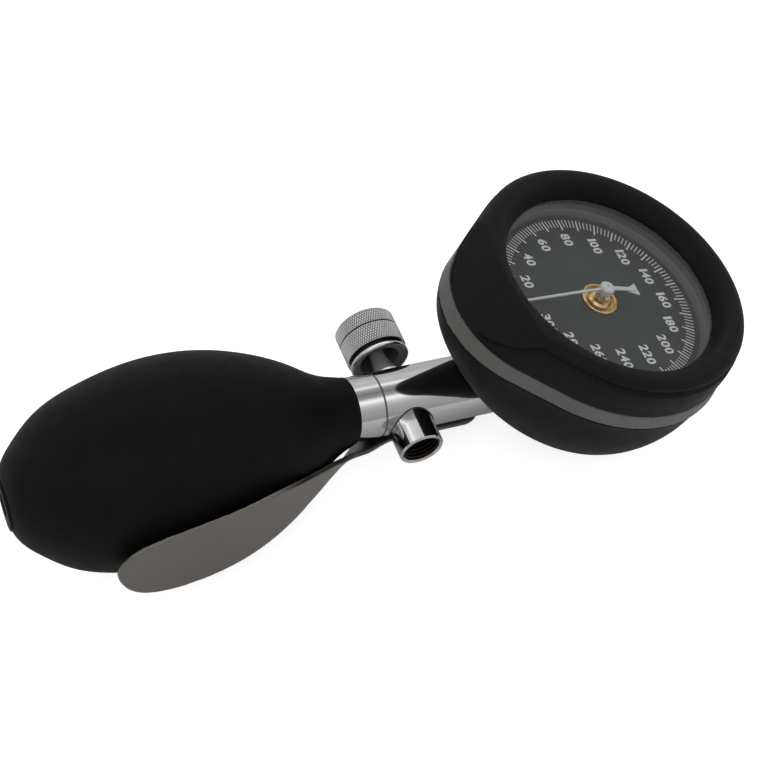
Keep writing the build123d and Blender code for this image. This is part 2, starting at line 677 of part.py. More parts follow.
with BuildPart() as spoon:
    with BuildSketch(BULB_PLAN):
        with BuildLine():
            Spline(*plan_out)
            Line(plan_out[-1], plan_in[-1])
            Spline(*plan_in)
            Line(plan_out[0], plan_in[0])
        make_face()
    extrude(amount=20, both=True)
    with BuildSketch(BULB_XZ):
        with BuildLine():
            Spline(*edge_up)
            Line(edge_up[-1], edge_low[0])
            Spline(*edge_low)
        make_face()
    extrude(amount=40, both=True, mode=Mode.INTERSECT)
    # neck: thin sections that turn from the blade to the underside of the tube
    for along, up, point, y, z, phi, half, t in neck_sections:
        with BuildSketch(thin_section(point, along, up, y, z, phi)):
            Rectangle(2 * half, t)
    loft(ruled=True)
    # flat tongue under the manifold
    with BuildSketch(Plane(origin=O_T - tz * (tongue_rho - spoon_t), x_dir=tx, z_dir=-tz)):
        with Locations((-34.1, 0)):
            Rectangle(18.8, 11.2)
        with Locations((-24.7, 0)):
            Circle(5.6)
        with Locations((-28, 0)):
            Circle(1.7, mode=Mode.SUBTRACT)
    extrude(amount=spoon_t)
spoon.part.label = "spoon"

with BuildPart() as spoon_screw:
    with BuildSketch(TUBE_XZ):
        with BuildLine():
            Polyline((-28, -4.2), (-29.45, -4.2), (-29.45, -9.0), (-31.0, -9.0), (-31.0, -9.9), (-30.5, -10.3),
                     (-28, -10.4), close=True)
        make_face()
    revolve(axis=Axis(O_T + tx * -28, tz))
    with BuildSketch(Plane(origin=O_T + tx * -28 - tz * 10.4, x_dir=tx, z_dir=-tz)):
        Rectangle(4.4, 0.7)
        Rectangle(0.7, 4.4)
    extrude(amount=-0.8, mode=Mode.SUBTRACT)
spoon_screw.part.label = "spoon_screw"

# ------------------------------------------------------------------
# One file for each piece
# ------------------------------------------------------------------
os.makedirs("parts", exist_ok=True)
for piece in (upper_boot, boot_band, lower_boot, gauge_case, snubber, stem_seal, lens, lens_gasket, dial_flange,
              dial, spacer_ring, diaphragm_seal, diaphragm, clamp_ring, diaphragm_pan, support_plate, lower_jewel,
              plate_pillars, upper_plate, plate_screws, movement_sleeve, bearing_cap, upper_jewel, hairspring,
              spindle, pointer, manifold, collar_gasket, valve_collar, outlet_ball, ball_cage, bleed_seat,
              bleed_needle, needle_seal, bleed_knob, bulb, inlet_body, inlet_screen, inlet_ball, inlet_retainer,
              spoon, spoon_screw):
    export_step(piece.part, "parts/" + piece.part.label + ".step")
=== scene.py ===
import json
import math

import bpy
import numpy as np
from mathutils import Matrix, Vector

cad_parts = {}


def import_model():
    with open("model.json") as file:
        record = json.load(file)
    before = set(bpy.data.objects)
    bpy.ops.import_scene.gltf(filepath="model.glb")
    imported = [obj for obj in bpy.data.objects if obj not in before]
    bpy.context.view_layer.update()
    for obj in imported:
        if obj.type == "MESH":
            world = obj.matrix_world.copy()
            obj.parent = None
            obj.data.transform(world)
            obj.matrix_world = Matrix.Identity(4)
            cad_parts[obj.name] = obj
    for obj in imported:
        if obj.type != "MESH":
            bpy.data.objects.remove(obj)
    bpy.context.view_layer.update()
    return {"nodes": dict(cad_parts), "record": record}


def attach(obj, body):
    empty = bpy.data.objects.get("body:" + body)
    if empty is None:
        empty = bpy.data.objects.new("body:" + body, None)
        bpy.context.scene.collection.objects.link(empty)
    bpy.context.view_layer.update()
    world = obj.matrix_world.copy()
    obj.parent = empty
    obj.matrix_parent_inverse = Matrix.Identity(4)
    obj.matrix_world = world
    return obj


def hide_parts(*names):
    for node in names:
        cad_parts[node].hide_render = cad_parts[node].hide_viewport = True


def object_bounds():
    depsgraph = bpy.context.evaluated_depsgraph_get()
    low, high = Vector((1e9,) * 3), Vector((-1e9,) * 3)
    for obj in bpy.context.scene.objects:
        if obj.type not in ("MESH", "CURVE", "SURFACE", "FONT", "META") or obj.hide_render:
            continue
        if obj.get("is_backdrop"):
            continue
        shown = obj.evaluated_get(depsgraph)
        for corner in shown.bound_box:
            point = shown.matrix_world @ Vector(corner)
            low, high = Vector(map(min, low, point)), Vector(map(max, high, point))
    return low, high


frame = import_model()
nodes = frame["nodes"]

# ------------------------------------------------------------------ frames
# Three local frames, in millimetres: the gauge (its axis is z, x points away from the bulb),
# the manifold tube (s along it, up is normal to it) and the bulb (u along it, away from its end).
LEAN, TUBE_DIP, BULB_DIP = math.radians(21.41), math.radians(12.16), math.radians(5.64)
OG = np.array([55.576, 0.0, 31.977])


def axes(a):
    return (np.array([math.cos(a), 0, -math.sin(a)]), np.array([0.0, 1, 0]), np.array([math.sin(a), 0, math.cos(a)]))


GA, TA, BA = axes(LEAN), axes(TUBE_DIP), axes(BULB_DIP)
OT = OG - GA[2] * 25.86
OB = OT - TA[0] * 55.6
OC = OT - TA[0] * 42.4
OP = OT - TA[0] * 41.85 - TA[2] * 0.90
G, T, B, C, P = (OG, GA), (OT, TA), (OB, BA), (OC, TA), (OP, TA)


def world(fr, p):
    o, (ex, ey, ez) = fr
    p = np.asarray(p, float)
    return (o + p[..., :1] * ex + p[..., 1:2] * ey + p[..., 2:3] * ez) / 1000.0


# ------------------------------------------------------------------ mesh tools
def mesh_object(name, verts, faces, body="root", sharp=35.0, smooth=True):
    me = bpy.data.meshes.new(name)
    me.from_pydata([tuple(map(float, v)) for v in verts], [], faces)
    me.validate()
    me.update()
    ob = bpy.data.objects.new(name, me)
    bpy.context.scene.collection.objects.link(ob)
    if smooth:
        me.shade_smooth()
        if sharp:
            me.set_sharp_from_angle(angle=math.radians(sharp))
    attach(ob, body)
    return ob


def grid_faces(rows, cols, wrap=True, offset=0):
    f = []
    for i in range(rows - 1):
        for j in range(cols if wrap else cols - 1):
            a, b = offset + i * cols + j, offset + i * cols + (j + 1) % cols
            f.append((a, b, b + cols, a + cols))
    return f


def rounded(profile, r, steps=3):
    """A profile of (a, b) points, or (a, b, radius) points, with each inner corner rounded."""
    out = []
    n = len(profile)
    for i, p in enumerate(profile):
        rad = p[2] if len(p) > 2 else r
        q = np.array(p[:2], float)
        if i in (0, n - 1) or rad <= 0:
            out.append(q)
            continue
        a, b = np.array(profile[i - 1][:2], float), np.array(profile[i + 1][:2], float)
        da, db = a - q, b - q
        la, lb = np.linalg.norm(da), np.linalg.norm(db)
        if la < 1e-6 or lb < 1e-6:
            out.append(q)
            continue
        da, db = da / la, db / lb
        cosv = float(np.clip(da @ db, -1, 1))
        turn = math.pi - math.acos(cosv)
        if turn < 0.12:
            out.append(q)
            continue
        cut = min(rad * math.tan(turn / 2), 0.45 * la, 0.45 * lb)
        p0, p2 = q + da * cut, q + db * cut
        for k in range(steps + 1):
            t = k / steps
            out.append((1 - t) ** 2 * p0 + 2 * t * (1 - t) * q + t ** 2 * p2)
    return out


def lathe(name, fr, profile, axis="z", n=192, body="root", sharp=40.0, closed=False):
    """profile: (height, radius) points; axis z or y or x of the frame."""
    ang = np.linspace(0, 2 * math.pi, n, endpoint=False)
    rows = []
    for h, r in profile:
        c, s = r * np.cos(ang), r * np.sin(ang)
        hh = np.full(n, h)
        rows.append({"z": np.stack([c, s, hh], 1), "y": np.stack([s, hh, c], 1), "x": np.stack([hh, c, s], 1)}[axis])
    v = world(fr, np.concatenate(rows))
    faces = grid_faces(len(profile), n)
    if closed:
        m = (len(profile) - 1) * n
        for j in range(n):
            faces.append((m + j, m + (j + 1) % n, (j + 1) % n, j))
    return mesh_object(name, v, faces, body, sharp)


# ------------------------------------------------------------------ materials
def nt(name):
    m = bpy.data.materials.new(name)
    m.use_nodes = True
    t = m.node_tree
    bs = t.nodes["Principled BSDF"]
    return m, t, bs


def noise(t, scale, detail=3.0, rough=0.55, stretch=None, coord="Object", distort=0.0):
    tc = t.nodes.new("ShaderNodeTexCoord")
    src = tc.outputs[coord]
    if stretch is not None:
        mp = t.nodes.new("ShaderNodeMapping")
        mp.inputs["Scale"].default_value = stretch[0]
        mp.inputs["Rotation"].default_value = stretch[1]
        t.links.new(src, mp.inputs["Vector"])
        src = mp.outputs["Vector"]
    n = t.nodes.new("ShaderNodeTexNoise")
    n.inputs["Scale"].default_value = scale
    n.inputs["Detail"].default_value = detail
    n.inputs["Roughness"].default_value = rough
    n.inputs["Distortion"].default_value = distort
    t.links.new(src, n.inputs["Vector"])
    return n.outputs["Fac"]


def ramp(t, src, lo, hi, a, b):
    """a to b as src goes from lo to hi."""
    r = t.nodes.new("ShaderNodeValToRGB")
    r.color_ramp.elements[0].position, r.color_ramp.elements[1].position = lo, hi
    r.color_ramp.elements[0].color = (*a, 1) if len(a) == 3 else a
    r.color_ramp.elements[1].color = (*b, 1) if len(b) == 3 else b
    t.links.new(src, r.inputs["Fac"])
    return r.outputs["Color"]


def rangemap(t, src, lo, hi, a, b):
    r = t.nodes.new("ShaderNodeMapRange")
    r.inputs["From Min"].default_value, r.inputs["From Max"].default_value = lo, hi
    r.inputs["To Min"].default_value, r.inputs["To Max"].default_value = a, b
    t.links.new(src, r.inputs["Value"])
    return r.outputs["Result"]


def bump(t, bs, src, dist, strength=1.0, prev=None):
    b = t.nodes.new("ShaderNodeBump")
    b.inputs["Distance"].default_value = dist
    b.inputs["Strength"].default_value = strength
    t.links.new(src, b.inputs["Height"])
    if prev is not None:
        t.links.new(prev, b.inputs["Normal"])
    t.links.new(b.outputs["Normal"], bs.inputs["Normal"])
    return b.outputs["Normal"]


def rubber(name, col, rough=0.62, spec=0.22, grain=0.00003, sheen=0.0):
    m, t, bs = nt(name)
    lo, hi = [c * 0.82 for c in col], [min(1, c * 1.22) for c in col]
    big = noise(t, 70, 3, 0.6)
    t.links.new(ramp(t, big, 0.3, 0.7, lo, hi), bs.inputs["Base Color"])
    t.links.new(rangemap(t, noise(t, 260, 4, 0.6), 0.3, 0.7, rough - 0.05, rough + 0.07), bs.inputs["Roughness"])
    bs.inputs["Specular IOR Level"].default_value = spec
    if sheen:
        bs.inputs["Sheen Weight"].default_value = sheen
        bs.inputs["Sheen Roughness"].default_value = 0.4
    n1 = bump(t, bs, noise(t, 5200, 2, 0.5), grain, 0.55)
    bump(t, bs, noise(t, 420, 3, 0.5), grain * 3.0, 0.35, n1)
    return m


def metal(name, col, rough, vary=0.06, micro=0.0, stretch=None, scale=900, aniso=0.0):
    m, t, bs = nt(name)
    bs.inputs["Metallic"].default_value = 1.0
    fine = noise(t, scale, 3, 0.6, stretch)
    t.links.new(ramp(t, fine, 0.25, 0.75, [c * (1 - vary) for c in col], [min(1, c * (1 + vary)) for c in col]), bs.inputs["Base Color"])
    t.links.new(rangemap(t, fine, 0.25, 0.75, max(0.02, rough * 0.8), rough * 1.25), bs.inputs["Roughness"])
    if aniso:
        bs.inputs["Anisotropic"].default_value = aniso
    if micro:
        bump(t, bs, fine, micro, 0.6)
    return m


def paint(name, col, rough, spec=0.5, vary=0.08, metallic=0.0, grain=0.000012, scale=2600, coat=0.0):
    m, t, bs = nt(name)
    f = noise(t, 300, 3, 0.6)
    t.links.new(ramp(t, f, 0.3, 0.7, [c * (1 - vary) for c in col], [min(1, c * (1 + vary)) for c in col]), bs.inputs["Base Color"])
    t.links.new(rangemap(t, noise(t, 500, 3, 0.6), 0.3, 0.7, rough * 0.9, rough * 1.12), bs.inputs["Roughness"])
    bs.inputs["Specular IOR Level"].default_value = spec
    bs.inputs["Metallic"].default_value = metallic
    if coat:
        bs.inputs["Coat Weight"].default_value = coat
        bs.inputs["Coat Roughness"].default_value = 0.15
    if grain:
        bump(t, bs, noise(t, scale, 2, 0.5), grain, 0.5)
    return m


M = {}
M["boot_rubber"] = rubber("boot_rubber", (0.0042, 0.0042, 0.0050), 0.54, 0.13)
M["bulb_rubber"] = rubber("bulb_rubber", (0.0034, 0.0034, 0.0036), 0.58, 0.09, 0.00002)
M["inlet_rubber"] = rubber("inlet_rubber", (0.0042, 0.0042, 0.0046), 0.5, 0.10)
M["seal_rubber"] = rubber("seal_rubber", (0.006, 0.006, 0.006), 0.6, 0.2)
M["band_grey"] = paint("band_grey", (0.094, 0.093, 0.087), 0.45, 0.3, 0.10)
M["case_metal"] = metal("case_metal", (0.55, 0.56, 0.57), 0.25, 0.04)
M["flange_grey"] = paint("flange_grey", (0.075, 0.079, 0.077), 0.30, 0.6, 0.05, grain=0.0)
# Flange colour stepped by height along the gauge axis: darker at its foot by the dial, with two lighter bands that are
# painted reflections of the strip lights.
t = M["flange_grey"].node_tree
bs = t.nodes["Principled BSDF"]
tc = t.nodes.new("ShaderNodeTexCoord")
rel = t.nodes.new("ShaderNodeVectorMath")
rel.operation = "SUBTRACT"
rel.inputs[1].default_value = tuple(OG / 1000)
t.links.new(tc.outputs["Object"], rel.inputs[0])
dz = t.nodes.new("ShaderNodeVectorMath")
dz.operation = "DOT_PRODUCT"
dz.inputs[1].default_value = tuple(GA[2])
t.links.new(rel.outputs["Vector"], dz.inputs[0])
flange_tone_and_painted_streaks = t.nodes.new("ShaderNodeValToRGB")
els = flange_tone_and_painted_streaks.color_ramp.elements
els[0].position, els[1].position = 0.0, 1.0
steps = ((0.0, 0.036), (0.07, 0.092), (0.34, 0.110), (0.40, 0.165), (0.46, 0.098), (0.60, 0.120), (0.70, 0.165), (0.78, 0.108), (1.0, 0.100))
for pos_, v_ in steps[1:-1]:
    els.new(pos_)
for e_, (pos_, v_) in zip(els, steps):
    e_.color = (v_, v_ * 1.03, v_ * 1.0, 1)
t.links.new(rangemap(t, dz.outputs["Value"], 0.0, 0.0051, 0.0, 1.0), flange_tone_and_painted_streaks.inputs["Fac"])
t.links.new(flange_tone_and_painted_streaks.outputs["Color"], bs.inputs["Base Color"])
M["dial_print"] = paint("dial_print", (0.031, 0.033, 0.034), 0.5, 0.25, 0.05, grain=0.0)
M["dial_white"] = paint("dial_white", (0.62, 0.625, 0.60), 0.55, 0.25, 0.03)
M["pointer_paint"] = paint("pointer_paint", (0.52, 0.525, 0.505), 0.42, 0.4, 0.03)
M["brass"] = metal("brass", (0.70, 0.47, 0.20), 0.28, 0.08, 0.000006)
M["spring_bronze"] = metal("spring_bronze", (0.62, 0.38, 0.18), 0.3, 0.08)
M["jewel"] = paint("jewel", (0.42, 0.16, 0.05), 0.15, 0.6, 0.1)
M["steel"] = metal("steel", (0.62, 0.62, 0.61), 0.22, 0.05)
M["chrome"] = metal("chrome", (0.515, 0.52, 0.525), 0.075, 0.02, 0.0, None, 400)
M["knurled_chrome"] = metal("knurled_chrome", (0.56, 0.57, 0.565), 0.10, 0.05, 0.0, None, 1500)
M["gasket_grey"] = paint("gasket_grey", (0.16, 0.16, 0.16), 0.4, 0.4)
M["stem_nickel"] = paint("stem_nickel", (0.80, 0.81, 0.81), 0.16, 0.9, 0.03, 0.70, 0.0)
# Painted shade: the dark lip, cup, port-joint, groove-root and groove materials here stand in for the shade in the
# knob's recesses, the knurl roots and the port's joint; the thread colour is the thread's own.
M["lip_painted_shade"] = paint("lip_painted_shade", (0.080, 0.083, 0.083), 0.34, 0.35, 0.15, 0.0, 0.0)
M["cup_painted_shade"] = paint("cup_painted_shade", (0.022, 0.023, 0.023), 0.28, 0.6, 0.1, 0.0, 0.0)
M["port_joint_painted_shade"] = paint("port_joint_painted_shade", (0.020, 0.020, 0.021), 0.4, 0.3, 0.05, 0.0, 0.0)
M["knurl_root_painted_shade"] = metal("knurl_root_painted_shade", (0.20, 0.203, 0.203), 0.26, 0.05, 0.0, None, 1500)
M["thread_brown"] = metal("thread_brown", (0.026, 0.017, 0.012), 0.38, 0.25, 0.000004, None, 1200)
M["groove_painted_shade"] = paint("groove_painted_shade", (0.006, 0.0062, 0.0065), 0.45, 0.25)
M["spoon_steel"] = metal("spoon_steel", (0.160, 0.146, 0.132), 0.33, 0.12, 0.000004, ((0.06, 1, 1), (0, 0, 0)), 3500)

# thin clear window: a sharp sheen over whatever lies behind it
m, t, bs = nt("window")
out = t.nodes["Material Output"]
bs.inputs["Base Color"].default_value = (0.97, 0.98, 0.98, 1)
bs.inputs["Roughness"].default_value = 0.0
bs.inputs["IOR"].default_value = 1.25
bs.inputs["Transmission Weight"].default_value = 1.0
clear = t.nodes.new("ShaderNodeBsdfTransparent")
clear.inputs["Color"].default_value = (0.96, 0.97, 0.97, 1)
mix = t.nodes.new("ShaderNodeMixShader")
lp = t.nodes.new("ShaderNodeLightPath")
either = t.nodes.new("ShaderNodeMath")
either.operation = "MAXIMUM"
t.links.new(lp.outputs["Is Shadow Ray"], either.inputs[0])
t.links.new(lp.outputs["Is Diffuse Ray"], either.inputs[1])
t.links.new(either.outputs[0], mix.inputs["Fac"])
t.links.new(bs.outputs["BSDF"], mix.inputs[1])
t.links.new(clear.outputs["BSDF"], mix.inputs[2])
t.links.new(mix.outputs["Shader"], out.inputs["Surface"])
M["window"] = m

subslot = {s["node"]: s["material_slot"] for s in frame["record"]["subparts"]}
for name, ob in nodes.items():
    mat = M[subslot.get(name, "steel")]
    ob.data.materials.clear() if not ob.material_slots else None
    if not ob.material_slots:
        ob.data.materials.append(mat)
    for s in ob.material_slots:
        s.link = "OBJECT"
        s.material = mat
for name, mat in (("bleed_seat", "stem_nickel"), ("collar_gasket", "gasket_grey"), ("spindle", "pointer_paint")):
    for s in nodes[name].material_slots:
        s.material = M[mat]


def dress(ob, mat):
    ob.data.materials.clear()
    ob.data.materials.append(M[mat])
    return ob


# ------------------------------------------------------------------ dial print
def dial_mark(r1, r2, th, w, z):
    d = np.array([-math.cos(th), math.sin(th)])
    e = np.array([-d[1], d[0]])
    p = [d * r1 - e * w / 2, d * r2 - e * w / 2, d * r2 + e * w / 2, d * r1 + e * w / 2]
    return [[*q, z] for q in p]


PRINT_Z = 0.02
dv, df = [], []
for mmhg in range(0, 301, 2):
    long = mmhg % 10 == 0
    k = len(dv)
    dv += dial_mark(22.0 if long else 23.0, 25.3, math.radians(mmhg * 1.152), 0.40 if long else 0.27, PRINT_Z)
    df.append((k, k + 3, k + 2, k + 1))
marks = mesh_object("dial_marks", world(G, dv), df, "root", 0, False)
dress(marks, "dial_white")


def text_mesh(body, bold=0.032):
    cu = bpy.data.curves.new("txt", "FONT")
    cu.body = body
    cu.size = 1.0
    cu.offset = bold
    cu.resolution_u = 4
    ob = bpy.data.objects.new("txt", cu)
    bpy.context.scene.collection.objects.link(ob)
    bpy.context.view_layer.update()
    me = bpy.data.meshes.new_from_object(ob.evaluated_get(bpy.context.evaluated_depsgraph_get()))
    v = np.array([tuple(x.co) for x in me.vertices])
    f = [tuple(p.vertices) for p in me.polygons]
    bpy.data.objects.remove(ob)
    bpy.data.curves.remove(cu)
    bpy.data.meshes.remove(me)
    return v, f


numerals = {20: (-6.95, -17.39), 40: (-13.5, -13.45), 60: (-17.63, -7.0), 80: (-18.89, 0.43), 100: (-16.35, 7.67),
            120: (-12.38, 14.0), 140: (-5.88, 17.76), 160: (1.74, 18.77), 180: (9.10, 16.72), 200: (14.7, 11.73),
            220: (17.09, 4.94), 240: (17.6, -2.12), 260: (15.62, -8.4), 280: (11.5, -13.86), 300: (5.76, -17.5)}
glyphs = {}
for d in "0123468":
    v, f = text_mesh(d)
    lo, hi = v.min(0), v.max(0)
    width = 0.74 if d == "1" else 1.78
    glyphs[d] = np.stack([(v[:, 0] - lo[0]) / (hi[0] - lo[0]) * width, ((v[:, 1] - lo[1]) / (hi[1] - lo[1]) - 0.5) * 2.6], 1), f, width
tv, tf = [], []
for num, (right, up) in numerals.items():
    total = sum(glyphs[d][2] for d in str(num)) + 0.2 * (len(str(num)) - 1)
    x0 = right - total / 2
    for d in str(num):
        v, f, width = glyphs[d]
        k = len(tv)
        tv += [[up + y, -(x0 + x), PRINT_Z] for x, y in v]
        tf += [tuple(k + i for i in q) for q in f]
        x0 += width + 0.2
nums = mesh_object("dial_numbers", world(G, tv), tf, "root", 0, False)
dress(nums, "dial_white")

# ------------------------------------------------------------------ soft rubber: the moulded boot, with its corners eased
def eased(name, node, voxel, rounds, mat, body="root"):
    src = nodes[node]
    me = bpy.data.meshes.new_from_object(src.evaluated_get(bpy.context.evaluated_depsgraph_get()))
    me.transform(src.matrix_world)
    ob = bpy.data.objects.new(name, me)
    bpy.context.scene.collection.objects.link(ob)
    w = ob.modifiers.new("weld", "WELD"); w.merge_threshold = 1e-6
    r = ob.modifiers.new("remesh", "REMESH"); r.mode = "VOXEL"; r.voxel_size = voxel; r.use_smooth_shade = True
    s = ob.modifiers.new("smooth", "SMOOTH"); s.factor = 0.5; s.iterations = rounds
    bpy.context.view_layer.update()
    new = bpy.data.meshes.new_from_object(ob.evaluated_get(bpy.context.evaluated_depsgraph_get()))
    ob.modifiers.clear()
    ob.data = new
    new.shade_smooth()
    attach(ob, body)
    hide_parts(node)
    dress(ob, mat)
    return ob


def local(fr, v):
    o, ex = fr
    d = v * 1000.0 - o
    return np.stack([d @ ex[0], d @ ex[1], d @ ex[2]], 1)


def crease(ob):
    """A fine line moulded all round, just under the rim and along the foot of the sloping nose."""
    me = ob.data
    v = np.empty(len(me.vertices) * 3)
    me.vertices.foreach_get("co", v)
    v = v.reshape(-1, 3)
    g = local(G, v)
    x, y, z = g[:, 0], g[:, 1], g[:, 2]
    rho = np.hypot(x - 45.0, y)
    slope = -1.0 + (85.4 - rho) / (85.4 - 76.0) * 11.7
    edge_z = np.minimum(8.3, slope)
    r = np.hypot(x, y)
    n = np.stack([x, y], 1) / np.maximum(r, 1e-6)[:, None]
    flank = 131.4
    a = np.degrees(np.abs(np.arctan2(y, x)))
    # on the flat flanks of the nose the wall looks sideways, not away from the centre
    f = np.clip((a - flank) / 6.0, 0, 1)[:, None]
    side = np.stack([np.full_like(x, math.cos(math.radians(flank))), np.sign(y) * math.sin(math.radians(flank))], 1)
    n = n * (1 - f) + side * f
    outside = (r > 32.2) & (z > 0.6)
    dz = z - (edge_z - 0.85)
    w = np.exp(-(dz / np.where(dz > 0, 0.80, 0.38)) ** 2) * outside
    push = 1.05 * w
    g[:, 0] -= n[:, 0] * push
    g[:, 1] -= n[:, 1] * push
    me.vertices.foreach_set("co", world(G, g).astype(np.float32).ravel())
    me.update()


crease(eased("boot_top", "upper_boot", 0.00030, 5, "boot_rubber"))
eased("boot_bottom", "lower_boot", 0.0004, 6, "boot_rubber")
eased("boot_stripe", "boot_band", 0.00025, 3, "band_grey")
eased("spoon_plate", "spoon", 0.00022, 7, "spoon_steel")

# ------------------------------------------------------------------ knob, with its diamond knurling
KR = 7.55


def knurl(name, y0, y1, r, root, pitch=0.64, count=74, depth=0.20):
    """A grip band: two families of crossing grooves, and an end face on each side."""
    n = count * 8
    m = int(round((y1 - y0) / pitch * 9)) + 1
    ang = np.linspace(0, 2 * math.pi, n, endpoint=False)
    ys = np.linspace(y0, y1, m)
    A, Y = np.meshgrid(ang, ys)
    u, w = A * count / (2 * math.pi), (Y - y0) / (2 * pitch)
    tri = lambda q: np.abs(2 * (q - np.floor(q)) - 1)
    cut = np.maximum(tri(u + w), tri(u - w))
    R_ = r - depth * np.clip(cut - 0.56, 0, 1) / 0.44
    ends = np.clip(np.minimum(Y - y0, y1 - Y) / 0.12, 0, 1)
    R_ = R_ - 0.07 * (1 - ends)
    rows = [np.stack([R_ * np.sin(A), Y, R_ * np.cos(A)], 2).reshape(-1, 3)]
    c0 = np.stack([root * np.sin(ang), np.full(n, y0), root * np.cos(ang)], 1)
    c1 = np.stack([root * np.sin(ang), np.full(n, y1), root * np.cos(ang)], 1)
    v = np.concatenate([c0] + rows + [c1])
    f = [tuple(reversed(q)) for q in grid_faces(m + 2, n)]
    ob = mesh_object(name, world(C, v), f, "valve_knob", 30)
    # the roots of the grooves are rougher than the polished lands, and darker: painted shade in the groove roots
    deep = np.concatenate([np.zeros((1, n)), np.clip(cut, 0, 1), np.zeros((1, n))])
    deep = (deep[:-1] + deep[1:]) / 2
    deep = ((deep + np.roll(deep, -1, 1)) / 2).ravel()
    return ob, [i for i, q in enumerate(deep) if q > 0.84]


k1, roots1 = knurl("knob_grip_outer", 18.8, 22.25, KR, 6.9)
k2, roots2 = knurl("knob_grip_inner", 13.5, 18.45, KR, 6.5)
core = lathe("knob_body", C, rounded([
    (11.31, 6.9), (11.3, 7.2), (11.5, 7.35), (12.2, 7.35), (12.35, 7.2), (12.4, 6.9)], 0.12, 3)
    + [(12.4, 6.6)], "y", 160, "valve_knob", 50)
dish = lathe("knob_dish", C, rounded([(17.9, 5.0), (11.85, 5.0, 0.3), (11.31, 6.9)], 0.3, 4), "y", 160, "valve_knob", 50)
groove = lathe("knob_groove", C, [(12.38, 6.95), (12.42, 6.62), (13.48, 6.62), (13.52, 6.95)], "y", 128, "valve_knob", 30)
slit = lathe("knob_slit", C, [(18.42, 7.4), (18.46, 7.15), (18.78, 7.15), (18.82, 7.4)], "y", 128, "valve_knob", 30)
face = lathe("knob_face", C, rounded([(22.2, 7.0), (22.25, 7.5, 0.0), (22.7, 7.1, 0.1), (22.7, 0.01)], 0.1, 3), "y", 160, "valve_knob", 40)
cup = lathe("knob_cup", C, rounded([(17.85, 5.01), (18.4, 4.5, 0.3), (18.4, 1.24)], 0.2, 3), "y", 128, "valve_knob", 40)
# The dish, cup, groove and slit take near-black materials: painted shade in the knob's recesses.
for ob_, mat_ in ((k1, "knurled_chrome"), (k2, "knurled_chrome"), (core, "chrome"), (dish, "lip_painted_shade"), (groove, "groove_painted_shade"), (slit, "groove_painted_shade"), (face, "knurled_chrome"), (cup, "cup_painted_shade")):
    dress(ob_, mat_)
for ob_, roots in ((k1, roots1), (k2, roots2)):
    ob_.data.materials.append(M["knurl_root_painted_shade"])
    for i in roots:
        ob_.data.polygons[i].material_index = 1
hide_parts("bleed_knob")

# ------------------------------------------------------------------ hose port: dark cut thread inside
MOUTH, BORE = -14.35, 4.50
lining = lathe("port_lining", P, [(MOUTH + 0.42, BORE - 0.03), (MOUTH + 0.35 + 7.76, BORE - 0.03), (MOUTH + 0.35 + 7.78, 1.82)], "y", 128, "root", 40)
dress(lining, "thread_brown")
turns, pitch, seg = 7.0, 1.0, 96
tvv, tff = [], []
N = int(turns * seg)
for i in range(N + 1):
    th = 2 * math.pi * i / seg
    y = MOUTH + 0.62 + pitch * i / seg
    fade = min(1.0, i / 30.0, (N - i) / 30.0)
    for dy, rr in ((-0.36, BORE - 0.02), (-0.05, BORE - 0.02 - 0.42 * fade), (0.05, BORE - 0.02 - 0.42 * fade), (0.36, BORE - 0.02)):
        tvv.append([rr * math.sin(th), y + dy, rr * math.cos(th)])
for i in range(N):
    for j in range(3):
        a = i * 4 + j
        tff.append((a, a + 4, a + 5, a + 1))
thread = mesh_object("port_thread", world(P, np.array(tvv)), tff, "root", 30)
dress(thread, "thread_brown")

# ------------------------------------------------------------------ painted shade: a small dark fillet band where the port leaves the manifold
def port_joint(n=240, w=0.20):
    """The thin dark line where the port leaves the tube: painted shade in the joint."""
    skin = lambda rr, a: -math.sqrt(max(7.75 ** 2 - (rr * math.sin(a) - 0.90) ** 2, 0.0))
    wall = lambda y: float(np.interp(-y, (6.4, 7.0, 7.6, 8.3, 9.0), (5.70, 5.60, 5.51, 5.465, 5.45)))
    foot, top = [], []
    for a in np.linspace(0, 2 * math.pi, n, endpoint=False):
        y = skin(5.6, a)
        y = skin(wall(y), a)
        up = y - w
        r0, r1 = wall(y) + w, wall(up) + 0.012
        foot.append([r0 * math.cos(a), skin(r0, a) - 0.012, r0 * math.sin(a)])
        top.append([r1 * math.cos(a), up, r1 * math.sin(a)])
    return mesh_object("port_joint", world(P, np.array(foot + top)), grid_faces(2, n), "root", 60)


joint_shade_line = port_joint()
dress(joint_shade_line, "port_joint_painted_shade")

# ------------------------------------------------------------------ floor, light, camera
me = bpy.data.meshes.new("floor")
me.from_pydata([(-3, -3, 0), (3, -3, 0), (3, 3, 0), (-3, 3, 0)], [], [(0, 1, 2, 3)])
floor = bpy.data.objects.new("floor", me)
bpy.context.scene.collection.objects.link(floor)
floor.location.z = -0.00002
floor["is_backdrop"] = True
m, t, bs = nt("floor")
t.links.new(ramp(t, noise(t, 40, 2, 0.5), 0.3, 0.7, (0.86, 0.86, 0.86), (0.88, 0.88, 0.88)), bs.inputs["Base Color"])
bs.inputs["Roughness"].default_value = 0.8
bs.inputs["Specular IOR Level"].default_value = 0.1
bs.inputs["Emission Color"].default_value = (1, 1, 1, 1)
lp = t.nodes.new("ShaderNodeLightPath")
glow = t.nodes.new("ShaderNodeMath")
glow.operation = "MULTIPLY_ADD"
glow.inputs[1].default_value, glow.inputs[2].default_value = -0.40, 0.40
shown = t.nodes.new("ShaderNodeMath")
shown.operation = "MULTIPLY_ADD"
shown.inputs[1].default_value = 0.30
t.links.new(lp.outputs["Is Glossy Ray"], glow.inputs[0])
t.links.new(lp.outputs["Is Camera Ray"], shown.inputs[0])
t.links.new(glow.outputs[0], shown.inputs[2])
t.links.new(shown.outputs[0], bs.inputs["Emission Strength"])
floor.data.materials.append(m)

sc = bpy.context.scene
wd = bpy.data.worlds.new("studio")
sc.world = wd
wd.use_nodes = True
wt = wd.node_tree
bg = wt.nodes["Background"]
